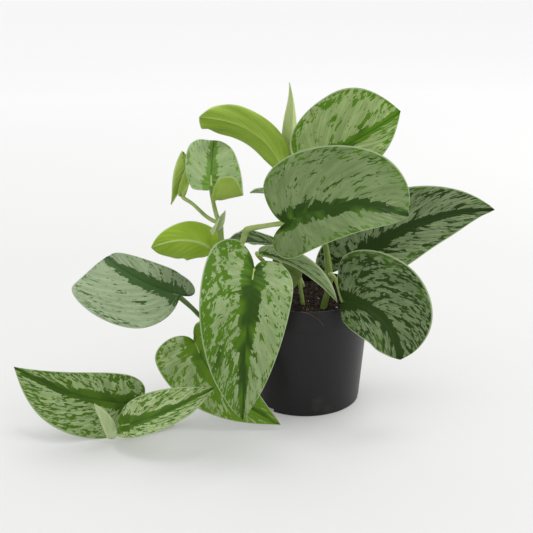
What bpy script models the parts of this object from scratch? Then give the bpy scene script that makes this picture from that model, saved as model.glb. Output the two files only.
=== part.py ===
"""Silver pothos (satin pothos) in a 10.5 cm nursery pot.

The frame has its origin at the centre of the pot's underside, +Z up and -Y to the front.
The pot stands on the surface at z = 0, and one stem trails down over its left side
and lies on that surface. Lengths in the tables are millimetres and angles are degrees.
"""
import math

import bmesh
import bpy
import numpy as np
from mathutils import Matrix, Vector

MM = 0.001

# Pot
POT_HEIGHT = 90.0
RIM_RADIUS = 52.5
COLLAR_HEIGHT = 17.0
COLLAR_STEP = 1.1
BASE_RADIUS = 44.8
WALL = 1.2
FOOT_HEIGHT = 2.5
PAD_RADIUS = 12.0
RING_INNER_RADIUS = 39.0
DRAIN_HOLES = 8
DRAIN_RADIUS = 4.0
DRAIN_CIRCLE = 29.0
NOTCH_ANGLES = (-131.0, -11.0, 109.0)
NOTCH_WIDTH = 9.0
NOTCH_HEIGHT = 3.0
FLOOR_LEVEL = FOOT_HEIGHT + WALL + 0.2
TURN_STEPS = 48

# Soil
SOIL_TOP = 82.0
SOIL_GAP = 0.35
ROOT_DEPTH = 9.0
POCKET_GAP = 2.0

# Plant
BLADE_THICKNESS = 0.8
LOBE_REACH = 1.12  # how far a lobe goes behind the base, in lobes
STEM_GAP = 0.7
GRID_HALF = 4
GRID_LONG = 12

SILVER_GREEN = (0.20, 0.33, 0.15)
LIME = (0.26, 0.42, 0.07)
PALE_STEM = (0.30, 0.43, 0.16)
POT_BLACK = (0.018, 0.018, 0.019)
SOIL_BROWN = (0.022, 0.015, 0.010)

# Each leaf blade: the base (where the petiole joins), the middle of the midrib and the
# tip; the way that the upper side faces; then for the right and left halves, as seen
# from the upper side with the tip up, the width, how far the lobe reaches behind the
# base, where along the midrib the half is widest, how full it is near the tip, and how
# far its margin bends towards the upper side. Some also have how far the notch opens
# (sinus), how square the lobes end (blunt) and how far each lobe rolls over (curl).
LEAVES = {
    "front": dict(
        base=(-39, -75, 131), mid=(-45, -103, 89), tip=(-49, -95, 24), face=(0.1, -1, 0.2),
        width=(37, 29), lobe=(20, 11), widest=(0.16, 0.14), full=(0.30, 0.34), fold=4,
        cup=(22, 12)),
    "centre": dict(
        base=(-16, -45, 157), mid=(29, -57, 172), tip=(76, -32, 158), face=(0, -1, 0.35),
        sinus=0.12, width=(27, 44.5), lobe=(17, 8), widest=(0.02, 0.30), full=(0.45, 0.60), fold=4,
        cup=(10, 25)),
    "top": dict(
        base=(8, -5, 196), mid=(42, -20, 216), tip=(69, -22, 234), face=(-0.1, -1, 0.5),
        width=(26, 39), lobe=(12, 18), widest=(0.40, 0.44), full=(0.30, 0.70), fold=4,
        cup=(10, 20)),
    "right": dict(
        base=(41, 15, 109), mid=(94, 18, 140), tip=(152, 10, 152), face=(0, -1, 0.5),
        width=(29, 34), lobe=(12, 28), widest=(0.26, 0.30), full=(0.30, 0.40), fold=8,
        cup=(14, 20)),
    "lower_right": dict(
        base=(27, -45, 96), mid=(53, -65, 89), tip=(66, -76, 61), face=(0.15, -0.95, 0.3),
        width=(21, 43), lobe=(2, 6), widest=(0.50, 0.31), full=(0.55, 0.58), fold=6,
        sinus=0.3, cup=(14, 20)),
    "top_left": dict(
        base=(-14, 5, 178), mid=(-36, 15, 213), tip=(-80, 0, 229), face=(-0.2, 1, 0.3),
        width=(15, 15), lobe=(-10, -6), widest=(0.66, 0.50), full=(0.75, 0.60), fold=10,
        cup=(30, 30)),
    "new_spear": dict(
        base=(-6, 23, 194), mid=(-6, 23, 223), tip=(-11, 23, 252), face=(-0.8, -0.5, 0),
        width=(13, 13), lobe=(1, 1), widest=(0.18, 0.18), full=(0.15, 0.15), fold=20,
        cup=(80, 80)),
    "cupped": dict(
        base=(-71, -22, 181), mid=(-71, -4, 198), tip=(-70, 16, 209), face=(0, -0.8, 0.6),
        blunt=1.6, width=(25, 20), lobe=(46, 8), widest=(-0.25, 0.40), full=(0.75, 0.90), fold=4,
        cup=(15, 15), curl=(120, 60)),
    "cupped_back": dict(
        base=(-95, -4, 170), mid=(-82, 8, 195), tip=(-105, 4, 161), face=(-0.7, 0.5, 0.5),
        width=(8, 16), lobe=(3, 3), widest=(0.40, 0.40), full=(0.60, 0.30), fold=15,
        cup=(50, 60)),
    "left_lime": dict(
        base=(-71, -18, 130), mid=(-91, -26, 140), tip=(-118, -25, 134), face=(-0.1, 1, 0.1),
        sinus=0.3, width=(22, 15), lobe=(3, 3), widest=(0.30, 0.30), full=(0.80, 0.40), fold=8,
        cup=(30, 30)),
    "left_silver": dict(
        base=(-95, -45, 102), mid=(-123, -62, 121), tip=(-151, -32, 129), face=(-0.1, -1, 0.8),
        width=(17, 41), lobe=(20, -12), widest=(0.18, 0.56), full=(0.60, 0.76), fold=4,
        cup=(20, 20)),
    "ground_left": dict(
        base=(-134, -56, 18.7), mid=(-179, -61, 31), tip=(-224, -50, 48), face=(0, -0.86, 0.5),
        width=(22, 30), lobe=(9, 6), widest=(0.10, 0.36), full=(0.20, 0.30), fold=2,
        cup=(16, 12)),
    "ground_front": dict(
        base=(-139, -82, 14), mid=(-105, -94, 31), tip=(-68, -84, 45), face=(0, -0.7, 0.7),
        width=(15, 17), lobe=(4, 4), widest=(0.40, 0.35), full=(0.30, 0.30), fold=8,
        cup=(16, 16)),
    "low": dict(
        base=(-86, -40, 62), mid=(-62, -56, 30), tip=(-21, -65, 4), face=(-0.3, -1, 0.4),
        width=(34, 24), lobe=(10, 14), widest=(0.05, 0.25), full=(0.15, 0.30), fold=6,
        cup=(20, 15)),
    "inner": dict(
        base=(-34, -34, 131), mid=(-2, -47, 121), tip=(21, -62, 101), face=(-0.2, -0.6, 0.8),
        width=(3, 10), lobe=(3, 4), widest=(0.35, 0.35), full=(0.40, 0.40), fold=12,
        cup=(10, 10)),
    "inner_low": dict(
        base=(-21, -22, 124), mid=(-16, -24, 112), tip=(-11, -26, 99), face=(0, 1, 0.2),
        width=(16, 9), lobe=(2, 2), widest=(0.35, 0.40), full=(0.50, 0.40), fold=8,
        cup=(20, 20)),
    "mid_left": dict(
        base=(-24, -12, 131), mid=(-41, -18, 136), tip=(-61, -22, 137), face=(0, -0.2, 1),
        width=(18, 9), lobe=(6, 6), widest=(0.40, 0.40), full=(0.30, 0.30), fold=4,
        cup=(10, 10)),
    "back": dict(
        base=(-2, 40, 153), mid=(-23, 42, 160), tip=(-43, 32, 164), face=(0, 0.1, 1),
        width=(18, 18), lobe=(6, 6), widest=(0.40, 0.40), full=(0.30, 0.30), fold=6,
        cup=(20, 20)),
}

# Sheaths that wrapped young leaves and stay at the joints, in the same terms.
SHEATHS = {
    "sheath_left": dict(
        base=(-71, -33, 148), mid=(-66, -35, 156), tip=(-60, -34, 164), face=(0.6, -0.3, 0.4),
        width=(5, 5), lobe=(1.5, 1.5), widest=(0.40, 0.40), full=(0.30, 0.30), fold=35,
        cup=(40, 40)),
    "sheath_ground": dict(
        base=(-150, -80, 3), mid=(-152, -84, 16), tip=(-157, -84, 33), face=(-0.4, -0.9, 0),
        width=(9, 4), lobe=(2, 2), widest=(0.35, 0.35), full=(0.40, 0.40), fold=-8,
        cup=(-40, -30)),
}

# Stems and petioles: points along the middle with the radius at each one. A petiole
# goes on from its last point to its blade's base, and ends just under the blade.
STEMS = {
    "stem_right": [
        (14, -23, 74, 2.6), (14, -23, 84, 2.6), (18, -22, 100, 2.4), (18, -20, 111, 3.0),
        (16, -15, 129, 2.3), (10, -4, 154, 2.2), (3, 9, 176, 2.1), (-5, 20, 190, 1.8)],
    "stem_left": [
        (-24, -24, 74, 2.4), (-24, -24, 84, 2.4), (-44, -30, 104, 2.3), (-61, -30, 125, 2.2),
        (-64, -30, 140, 2.2), (-65, -28, 154, 2.6)],
    "stem_trailing": [
        (-30, -4, 74, 2.6), (-30, -4, 84, 2.6), (-46, -12, 97, 2.5), (-64, -20, 90, 2.4),
        (-76, -28, 60, 2.4), (-86, -38, 28, 2.4), (-98, -52, 8, 2.4), (-110, -62, 3, 2.4),
        (-124, -70, 6, 2.3), (-135, -75, 11, 2.1)],
}
PETIOLES = {
    "front": [(-54, -34, 117, 1.8), (-48, -48, 125, 1.8), (-42, -62, 129, 1.8)],
    "centre": [(-56, -34, 127, 2.1), (-48, -37, 141, 2.2), (-45.5, -38, 149, 2.4),
               (-42, -39, 151.5, 2.2), (-27, -41, 154.5, 1.8)],
    "top": [(2, 0, 179, 1.8), (5, -2, 187, 1.8)],
    "right": [(31, 20, 74, 1.9), (31, 20, 84, 1.9), (30, 20, 95, 1.9), (35, 19, 104, 1.8)],
    "lower_right": [(20, -25, 110, 1.9), (24, -30, 105, 1.8)],
    "top_left": [(-1, 7, 170, 1.7), (-8, 7, 171, 1.7), (-13, 5, 174, 1.6)],
    "cupped": [(-67, -27, 158, 1.8), (-70, -23, 170, 1.6)],
    "cupped_back": [(-69, -25, 154, 1.6), (-76, -20, 157, 1.5), (-86, -14, 165, 1.4)],
    "left_lime": [(-67, -25, 136, 1.5), (-70, -24, 134, 1.5)],
    "left_silver": [(-76, -27, 73, 1.9), (-82, -33, 81, 1.8), (-88, -40, 91, 1.8)],
    "ground_left": [(-109, -57, 6, 1.6), (-116, -53, 11, 1.6), (-125, -52, 17, 1.6)],
    "ground_front": [(-139.5, -75.5, 9.5, 1.4)],
    "low": [(-80, -30, 63, 1.7), (-85, -34, 66, 1.6)],
    "inner": [(-22, 0, 74, 1.8), (-22, 0, 84, 1.8), (-26, -10, 108, 1.7), (-37, -28, 128, 1.6)],
    "inner_low": [(-2, -14, 74, 1.6), (-2, -14, 84, 1.6), (-6, -13, 108, 1.5),
                  (-12, -15, 124, 1.4), (-17, -20, 130, 1.4), (-20.5, -24.5, 130, 1.3)],
    "mid_left": [(-12, 12, 74, 1.7), (-12, 12, 84, 1.7), (-14, 4, 108, 1.6),
                 (-19, -12, 125, 1.5)],
    "back": [(1, 32, 74, 1.7), (0, 32, 84, 1.7), (-3, 34, 94, 1.7), (-6, 38, 125, 1.6),
             (-3, 40, 146, 1.5)],
}


def clear_scene():
    for item in list(bpy.data.objects):
        bpy.data.objects.remove(item, do_unlink=True)


def collection(name):
    made = bpy.data.collections.new(name)
    bpy.context.scene.collection.children.link(made)
    return made


def material(name, colour, roughness, metallic=0.0):
    made = bpy.data.materials.new(name)
    made.use_nodes = True
    shader = made.node_tree.nodes["Principled BSDF"]
    shader.inputs["Base Color"].default_value = (*colour, 1.0)
    shader.inputs["Roughness"].default_value = roughness
    shader.inputs["Metallic"].default_value = metallic
    return made


def add_object(name, data, finish, group):
    item = bpy.data.objects.new(name, data)
    data.materials.append(finish)
    group.objects.link(item)
    return item


def unit(v):
    v = np.asarray(v, float)
    return v / np.linalg.norm(v)


def half_outline(t, lobe, widest, full, sinus):
    """One side of a heart-shaped blade: across 0 to 1, along from the notch to the tip."""
    if t < 0.4:
        s = t / 0.4
        points = ((0, 0), (sinus, -1.6 * lobe), (1, -1.25 * lobe), (1, widest))
    else:
        s = (t - 0.4) / 0.6
        points = ((1, widest), (1, widest + 0.30), (full, 0.82 + 0.18 * full), (0, 1))
    weights = ((1 - s) ** 3, 3 * s * (1 - s) ** 2, 3 * s * s * (1 - s), s ** 3)
    return sum(w * np.array(p, float) for w, p in zip(weights, points))


def blade_point(u, t, *shape):
    """A point on the flat blade: u runs along a side vein from the midrib to the margin."""
    edge = half_outline(t, *shape)
    start = max(0.0, (t - 0.1) / 0.9) ** 1.8
    bend = np.array((0.55 * edge[0], start + 0.35 * (edge[1] - start)))
    return (1 - u) ** 2 * np.array((0.0, start)) + 2 * u * (1 - u) * bend + u * u * edge


class Midrib:
    """The curve along a blade, with its upward and sideways directions."""

    def __init__(self, spec):
        base, mid, tip = (np.array(spec[k], float) for k in ("base", "mid", "tip"))
        self.a, self.b, self.c = base, 2 * mid - (base + tip) / 2, tip
        self.face = unit(spec["face"])
        steps = np.linspace(0, 1, 65)
        curve = np.array([self.point_at(s) for s in steps])
        run = np.concatenate(([0], np.cumsum(np.linalg.norm(np.diff(curve, axis=0), axis=1))))
        self.length = run[-1]
        self.steps, self.run = steps, run / run[-1]

    def point_at(self, s):
        return (1 - s) ** 2 * self.a + 2 * s * (1 - s) * self.b + s * s * self.c

    def frame(self, y):
        """Place, along, up and across at a fraction y of the length."""
        s = float(np.interp(y, self.run, self.steps))
        along = unit((1 - s) * (self.b - self.a) + s * (self.c - self.b))
        up = unit(self.face - along * self.face.dot(along))
        across = np.cross(along, up)
        place = self.point_at(s)
        if y < 0:
            place = self.a + along * y * self.length
        return place, along, up, across


def surface_point(rib, spec, side, u, t):
    """A point on the shaped blade in millimetres."""
    half = 0 if side > 0 else 1
    lobe = spec["lobe"][half] / rib.length
    shape = (lobe, spec["widest"][half], spec["full"][half], spec.get("sinus", 0.10))
    x, y = blade_point(u, t, *shape)
    if y < 0 and "blunt" in spec:
        reach = LOBE_REACH * lobe
        y = reach * (max(0.0, 1 + y / reach) ** spec["blunt"] - 1)
    width = spec["width"][half]
    place, along, up, across = rib.frame(y)
    reach = x * width
    fold = math.radians(spec["fold"])
    bend = math.radians(spec["cup"][half]) / width
    turn = fold + bend * reach
    sideways = (math.sin(turn) - math.sin(fold)) / bend
    lift = (math.cos(fold) - math.cos(turn)) / bend
    point = place + across * side * sideways + up * lift
    curl = math.radians(spec.get("curl", (0, 0))[half])
    if y < 0 and curl:
        back = -y * rib.length
        rate = curl / (lobe * rib.length)
        point += along * (back - math.sin(rate * back) / rate)
        point += up * (1 - math.cos(rate * back)) / rate
    return point


def make_blade(name, spec, finish, group):
    rib = Midrib(spec)
    bm = bmesh.new()
    bmesh.ops.create_grid(bm, x_segments=2 * GRID_HALF, y_segments=GRID_LONG, size=1)
    for vert in bm.verts:
        side = 1 if vert.co.x >= 0 else -1
        u, t = abs(vert.co.x), (vert.co.y + 1) / 2
        vert.co = Vector(surface_point(rib, spec, side, u, t)) * MM
    bmesh.ops.remove_doubles(bm, verts=bm.verts, dist=0.00005)
    mesh = bpy.data.meshes.new(name)
    bm.to_mesh(mesh)
    bm.free()
    mesh.shade_smooth()
    item = add_object(name, mesh, finish, group)
    shell = item.modifiers.new("thickness", "SOLIDIFY")
    shell.thickness = BLADE_THICKNESS * MM
    shell.offset = 0.0
    return item


def smooth_route(points, per_span=4):
    """Catmull-Rom points through the given ones; each row is x, y, z and radius."""
    rows = np.array(points, float)
    rows = np.vstack((2 * rows[0] - rows[1], rows, 2 * rows[-1] - rows[-2]))
    route = []
    for p0, p1, p2, p3 in zip(rows, rows[1:], rows[2:], rows[3:]):
        for s in np.arange(per_span) / per_span:
            route.append(0.5 * (2 * p1 + (p2 - p0) * s + (2 * p0 - 5 * p1 + 4 * p2 - p3) * s * s
                                + (3 * p1 - p0 - 3 * p2 + p3) * s ** 3))
    route.append(rows[-2])
    return np.array(route)


def make_tube(name, rows, finish, group, per_span=4):
    curve = bpy.data.curves.new(name, "CURVE")
    curve.dimensions = "3D"
    curve.bevel_depth = MM
    curve.bevel_resolution = 2
    curve.use_fill_caps = True
    route = smooth_route(rows, per_span)
    spline = curve.splines.new("POLY")
    spline.points.add(len(route) - 1)
    for point, (x, y, z, radius) in zip(spline.points, route):
        point.co = (x * MM, y * MM, z * MM, 1)
        point.radius = radius
    spline.use_smooth = True
    return add_object(name, curve, finish, group)


def petiole_rows(rows, spec, radius):
    """The petiole's points, on to its end just under the base of its blade."""
    rib = Midrib(spec)
    place, along, up, across = rib.frame(0.0)
    end = place - up * (radius + BLADE_THICKNESS / 2 + STEM_GAP) - along * 1.0
    return rows + [(*end, radius)]


def ring(bm, radius, depth, place):
    """A closed cylinder standing on its middle at a place, all in metres."""
    made = bmesh.ops.create_cone(
        bm, cap_ends=True, segments=16, radius1=radius, radius2=radius, depth=depth)
    bmesh.ops.translate(bm, verts=made["verts"], vec=place)


def make_cutter(name, fill, group):
    bm = bmesh.new()
    fill(bm)
    mesh = bpy.data.meshes.new(name)
    bm.to_mesh(mesh)
    bm.free()
    cutter = bpy.data.objects.new(name, mesh)
    cutter.hide_render = True
    cutter.display_type = "WIRE"
    group.objects.link(cutter)
    return cutter


def cut(item, cutter):
    boolean = item.modifiers.new("cut_" + cutter.name, "BOOLEAN")
    boolean.operation = "DIFFERENCE"
    boolean.object = cutter


def turned(name, profile, finish, group):
    """A profile of radius and height points, turned about the Z axis."""
    mesh = bpy.data.meshes.new(name)
    verts = [(r * MM, 0, z * MM) for r, z in profile]
    mesh.from_pydata(verts, [(i, i + 1) for i in range(len(verts) - 1)], [])
    item = add_object(name, mesh, finish, group)
    screw = item.modifiers.new("turn", "SCREW")
    screw.steps = TURN_STEPS
    screw.render_steps = TURN_STEPS
    screw.use_merge_vertices = True
    screw.merge_threshold = 0.00001
    screw.use_smooth_shade = True
    return item


def body_radius(z):
    """Outside radius of the pot's body, which tapers from the collar to the base."""
    top = RIM_RADIUS - COLLAR_STEP
    return BASE_RADIUS + (top - BASE_RADIUS) * z / (POT_HEIGHT - COLLAR_HEIGHT)


def make_pot(finish, plant, cutters):
    shoulder = POT_HEIGHT - COLLAR_HEIGHT
    profile = [
        (0, FLOOR_LEVEL), (body_radius(FLOOR_LEVEL) - WALL - 1.0, FLOOR_LEVEL),
        (body_radius(FLOOR_LEVEL + 1) - WALL, FLOOR_LEVEL + 1),
        (body_radius(shoulder) - WALL, shoulder), (RIM_RADIUS - WALL, shoulder + 1.5),
        (RIM_RADIUS - WALL, POT_HEIGHT - 0.4), (RIM_RADIUS - WALL / 2, POT_HEIGHT),
        (RIM_RADIUS - 0.15, POT_HEIGHT - 0.35), (RIM_RADIUS, POT_HEIGHT - 1.0),
        (RIM_RADIUS - 0.2, shoulder + 0.4), (RIM_RADIUS - 0.5, shoulder),
        (body_radius(shoulder), shoulder - 0.2), (body_radius(1.2), 1.2),
        (BASE_RADIUS - 0.4, 0.3), (BASE_RADIUS - 1.1, 0), (RING_INNER_RADIUS + 0.5, 0),
        (RING_INNER_RADIUS, FOOT_HEIGHT), (PAD_RADIUS + 1, FOOT_HEIGHT), (PAD_RADIUS, 0), (0, 0)]
    pot = turned("nursery_pot", profile, finish, plant)

    def drains(bm):
        for i in range(DRAIN_HOLES):
            angle = 2 * math.pi * (i + 0.5) / DRAIN_HOLES
            place = Vector((DRAIN_CIRCLE * math.cos(angle), DRAIN_CIRCLE * math.sin(angle), 3))
            ring(bm, DRAIN_RADIUS * MM, 6 * MM, place * MM)

    def notches(bm):
        middle = (RING_INNER_RADIUS + BASE_RADIUS) / 2
        for degrees in NOTCH_ANGLES:
            angle = math.radians(degrees)
            made = bmesh.ops.create_cube(bm, size=1)
            size = Vector((BASE_RADIUS - RING_INNER_RADIUS + 4, NOTCH_WIDTH, 2 * NOTCH_HEIGHT)) * MM
            bmesh.ops.scale(bm, verts=made["verts"], vec=size)
            bmesh.ops.rotate(bm, verts=made["verts"], matrix=Matrix.Rotation(angle, 3, "Z"))
            place = Vector((middle * math.cos(angle), middle * math.sin(angle), 0)) * MM
            bmesh.ops.translate(bm, verts=made["verts"], vec=place)

    cut(pot, make_cutter("drain_cutter", drains, cutters))
    cut(pot, make_cutter("notch_cutter", notches, cutters))
    return pot


def make_soil(roots, finish, plant, cutters):
    """The compost, a plug that follows the pot's wall, with a pocket round each stem."""
    shoulder = POT_HEIGHT - COLLAR_HEIGHT
    low = FLOOR_LEVEL + SOIL_GAP
    profile = [
        (0, SOIL_TOP + 0.6), (18, SOIL_TOP + 0.5), (32, SOIL_TOP), (44, SOIL_TOP - 0.8),
        (RIM_RADIUS - WALL - SOIL_GAP, SOIL_TOP - 2),
        (RIM_RADIUS - WALL - SOIL_GAP, shoulder + 1.6),
        (body_radius(shoulder) - WALL - SOIL_GAP, shoulder + 0.2),
        (body_radius(low + 1) - WALL - SOIL_GAP, low + 1), (body_radius(low) - WALL - 1.3, low),
        (0, low)]
    soil = turned("soil", profile, finish, plant)

    def pockets(bm):
        for x, y, radius in roots:
            place = Vector((x, y, SOIL_TOP)) * MM
            ring(bm, (radius + POCKET_GAP) * MM, 2 * ROOT_DEPTH * MM, place)

    cut(soil, make_cutter("pocket_cutter", pockets, cutters))
    return soil


def main():
    clear_scene()
    plant = collection("potted_silver_pothos")
    cutters = collection("cutters")
    leaf_green = material("leaf_green", SILVER_GREEN, 0.45)
    stem_green = material("stem_green", PALE_STEM, 0.5)
    sheath_green = material("sheath_green", LIME, 0.5)
    for name, spec in LEAVES.items():
        make_blade("leaf_" + name, spec, leaf_green, plant)
    for name, spec in SHEATHS.items():
        make_blade(name, spec, sheath_green, plant)
    tubes = dict(STEMS)
    for name, rows in PETIOLES.items():
        tubes["petiole_" + name] = petiole_rows(rows, LEAVES[name], rows[-1][3])
    for name, rows in tubes.items():
        make_tube(name, rows, stem_green, plant)
    make_pot(material("pot_black", POT_BLACK, 0.45), plant, cutters)
    roots = [(rows[0][0], rows[0][1], rows[0][3]) for rows in tubes.values()
             if rows[0][2] < SOIL_TOP and rows[0][2] > SOIL_TOP - ROOT_DEPTH]
    make_soil(roots, material("soil_brown", SOIL_BROWN, 0.95), plant, cutters)


main()
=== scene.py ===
import math

import bmesh
import bpy
import numpy as np
from mathutils import Matrix, Vector, noise


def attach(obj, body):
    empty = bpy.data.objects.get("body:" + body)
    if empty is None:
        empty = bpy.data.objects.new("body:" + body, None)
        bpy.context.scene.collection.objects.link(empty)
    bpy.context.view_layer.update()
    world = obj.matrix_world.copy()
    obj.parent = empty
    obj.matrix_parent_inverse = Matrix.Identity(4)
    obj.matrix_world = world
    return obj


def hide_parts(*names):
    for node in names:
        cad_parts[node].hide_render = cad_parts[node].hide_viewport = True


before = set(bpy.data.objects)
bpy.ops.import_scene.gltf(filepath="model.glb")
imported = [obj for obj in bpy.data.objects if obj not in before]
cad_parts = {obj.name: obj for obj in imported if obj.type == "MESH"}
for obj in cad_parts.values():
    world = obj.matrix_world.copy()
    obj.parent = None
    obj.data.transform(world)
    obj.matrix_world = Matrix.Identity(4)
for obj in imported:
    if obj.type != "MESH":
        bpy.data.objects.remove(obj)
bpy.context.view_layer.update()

# ---- View and light: the plant stands on a pale table in a soft, bright, nearly shadowless
# studio, seen from a little above the pot. Lengths are millimetres and angles degrees, and
# MM turns a length to metres where a mesh, a light or a pattern needs it.
MM = 0.001
scene = bpy.context.scene
scene.view_settings.view_transform = "Standard"


def colour(code):
    """An sRGB hex colour in linear light."""
    parts = [int(code[i:i + 2], 16) / 255 for i in (1, 3, 5)]
    return (*[p / 12.92 if p <= 0.04045 else ((p + 0.055) / 1.055) ** 2.4 for p in parts], 1.0)


def feed(tree, made, inputs):
    """Fills a node's inputs, by name or in order. Each is linked to a socket, or to the first
    working output of another node, or holds a value of its own."""
    for name, value in inputs.items() if isinstance(inputs, dict) else enumerate(inputs):
        if isinstance(value, bpy.types.Node):
            value = next(out for out in value.outputs if out.enabled)
        if isinstance(value, bpy.types.NodeSocket):
            tree.links.new(value, made.inputs[name])
        else:
            made.inputs[name].default_value = value


def node(tree, kind, inputs=(), **settings):
    """Adds a node with its settings and links; a shader node's kind goes without its prefix."""
    made = tree.nodes.new(kind if "Node" in kind else "ShaderNode" + kind)
    for name, value in settings.items():
        setattr(made, name, value)
    feed(tree, made, inputs)
    return made


def finish_of(name):
    """A new material, its node tree and its shader."""
    made = bpy.data.materials.new(name)
    made.use_nodes = True
    return made, made.node_tree, made.node_tree.nodes["Principled BSDF"]


def put(name, data):
    """A new object in the scene, at the origin."""
    made = bpy.data.objects.new(name, data)
    scene.collection.objects.link(made)
    return made


view = bpy.data.cameras.new("view")
view.lens, view.sensor_width = 55.4, 36.0
EYE, LOOK_DOWN, LEAN = (-30.3, -627.5, 299.8), 16.81, -0.71
camera = put("view", view)
camera.matrix_world = (
    Matrix.Translation(Vector(EYE) * MM)
    @ Matrix.Rotation(math.radians(90 - LOOK_DOWN), 4, "X")
    @ Matrix.Rotation(math.radians(LEAN), 4, "Z"))
scene.camera = camera

# A soft room: an even pale surround, a big soft box overhead and behind, and one on the right.
room = bpy.data.worlds.new("room")
room.use_nodes = True
feed(room.node_tree, room.node_tree.nodes["Background"], (colour("#f4f4f4"), 0.98))
scene.world = room
for name, place, width, power in (
        ("soft_box_above", (500, 450, 2700), 1200, 26.0),
        ("soft_box_right", (2200, 300, 900), 1000, 10.0)):
    lamp = bpy.data.lights.new(name, "AREA")
    lamp.size, lamp.energy = width * MM, power
    put(name, lamp).matrix_world = (
        Matrix.Translation(Vector(place) * MM)
        @ Vector(place).to_track_quat("Z", "Y").to_matrix().to_4x4())

# The table: a wide pale matt sweep that is flat under the plant and curves up far behind it.
# It is painted paler towards its far edge, where the lamps light it less, so that the room
# behind the plant looks even, and it has a faint painted glow, which lifts the shadows on it.
TABLE_PALER_FROM, TABLE_PALER_TO = 500, 2600
table_finish, tree, shader = finish_of("pale matt sweep")
reach = node(tree, "VectorMath", (node(tree, "TexCoord").outputs["Object"],),
             operation="LENGTH")
# Painted light: the sweep grows paler with distance, where less lamp light reaches it.
paler = node(tree, "MapRange", (reach, TABLE_PALER_FROM * MM, TABLE_PALER_TO * MM))
feed(tree, shader, {
    "Base Color": node(tree, "Mix", {0: paler, 6: colour("#c6c6c5"), 7: colour("#e2e2e2")},
                       data_type="RGBA"),
    # A faint painted glow that lifts the shadows on the table.
    "Emission Color": colour("#ffffff"), "Emission Strength": 0.19, "Roughness": 0.6,
    "Specular IOR Level": 0.2})
TABLE_PROFILE = ((0, 0), (1200, 0), (2200, 0), (2800, 40), (3300, 140), (3700, 300),
                 (4000, 550), (4200, 900))


def turn(name, path, steps):
    """A surface turned about the upright axis from a path of radius and height."""
    bm = bmesh.new()
    verts = [bm.verts.new((r * MM, 0, z * MM)) for r, z in path]
    edges = [bm.edges.new(pair) for pair in zip(verts, verts[1:])]
    bmesh.ops.spin(bm, geom=verts + edges, cent=(0, 0, 0), axis=(0, 0, 1), dvec=(0, 0, 0),
                   angle=2 * math.pi, steps=steps, use_merge=True)
    bmesh.ops.remove_doubles(bm, verts=bm.verts, dist=0.000002)
    bmesh.ops.recalc_face_normals(bm, faces=bm.faces)
    mesh = bpy.data.meshes.new(name)
    bm.to_mesh(mesh)
    bm.free()
    return put(name, mesh)


table = turn("table", TABLE_PROFILE, 96)
if table.data.polygons[0].normal.z < 0:
    table.data.flip_normals()
table.data.shade_smooth()
table.data.materials.append(table_finish)


# ---- Nursery pot: a thin-walled round pot of black polypropylene, injection moulded in one
# piece, with a collar, a slight taper, drainage holes and three notches in its foot ring.
POT_HEIGHT, RIM_RADIUS, BASE_RADIUS = 90.0, 52.5, 44.8
COLLAR_HEIGHT, COLLAR_STEP, WALL = 17.0, 1.1, 1.2
FOOT_HEIGHT, PAD_RADIUS, RING_INNER = 2.5, 12.0, 39.0
DRAIN_HOLES, DRAIN_RADIUS, DRAIN_CIRCLE, DRILL_DEPTH = 8, 4.0, 29.0, 6.0
NOTCH_ANGLES, NOTCH_WIDTH, NOTCH_HEIGHT = (-131.0, -11.0, 109.0), 9.0, 3.0
POT_STEPS, SHARP_ANGLE = 192, 40
SHOULDER = POT_HEIGHT - COLLAR_HEIGHT
FLOOR = FOOT_HEIGHT + WALL + 0.2


def body_radius(z):
    """Outside radius of the pot's wall below the collar."""
    top = RIM_RADIUS - COLLAR_STEP
    return BASE_RADIUS + (top - BASE_RADIUS) * z / SHOULDER


def softened(corners, steps=4):
    """Rounds each corner of a profile that has a radius given as its third number."""
    path = []
    for i, (r, z, *soft) in enumerate(corners):
        here = np.array((r, z), float)
        if not soft:
            path.append(here)
            continue
        before, after = (np.array(corners[i + d][:2], float) for d in (-1, 1))
        start = here + (before - here) / np.linalg.norm(before - here) * soft[0]
        end = here + (after - here) / np.linalg.norm(after - here) * soft[0]
        for s in np.linspace(0, 1, steps + 1):
            path.append((1 - s) ** 2 * start + 2 * s * (1 - s) * here + s * s * end)
    return path


def shape_of(piece):
    """A piece's evaluated shape as a mesh of its own."""
    graph = bpy.context.evaluated_depsgraph_get()
    return bpy.data.meshes.new_from_object(piece.evaluated_get(graph), depsgraph=graph)


def settle(piece):
    """Gives a piece its evaluated shape as its plain mesh."""
    mesh = shape_of(piece)
    piece.modifiers.clear()
    piece.data = mesh
    mesh.name = piece.name


# Each corner of the pot's profile has its radius, its height and how far it is rounded.
pot = turn("pot", softened([
    (0, FLOOR), (body_radius(FLOOR) - WALL, FLOOR, 1.5),
    (body_radius(SHOULDER) - WALL, SHOULDER, 0.6), (RIM_RADIUS - WALL, SHOULDER + 1.5, 0.6),
    (RIM_RADIUS - WALL, POT_HEIGHT, 0.45), (RIM_RADIUS, POT_HEIGHT, 0.55),
    (RIM_RADIUS - 0.2, SHOULDER, 0.35), (body_radius(SHOULDER), SHOULDER - 0.3, 0.25),
    (BASE_RADIUS, 0, 1.3), (RING_INNER + 0.5, 0, 0.4), (RING_INNER, FOOT_HEIGHT, 0.5),
    (PAD_RADIUS + 1, FOOT_HEIGHT, 0.5), (PAD_RADIUS, 0, 0.4), (0, 0)]), POT_STEPS)
bm = bmesh.new()
for i in range(DRAIN_HOLES):
    angle = 2 * math.pi * (i + 0.5) / DRAIN_HOLES
    hole = bmesh.ops.create_cone(bm, cap_ends=True, segments=32, radius1=DRAIN_RADIUS * MM,
                                 radius2=DRAIN_RADIUS * MM, depth=DRILL_DEPTH * MM)
    place = Vector((math.cos(angle) * DRAIN_CIRCLE, math.sin(angle) * DRAIN_CIRCLE,
                    DRILL_DEPTH / 2))
    bmesh.ops.translate(bm, verts=hole["verts"], vec=place * MM)
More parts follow.
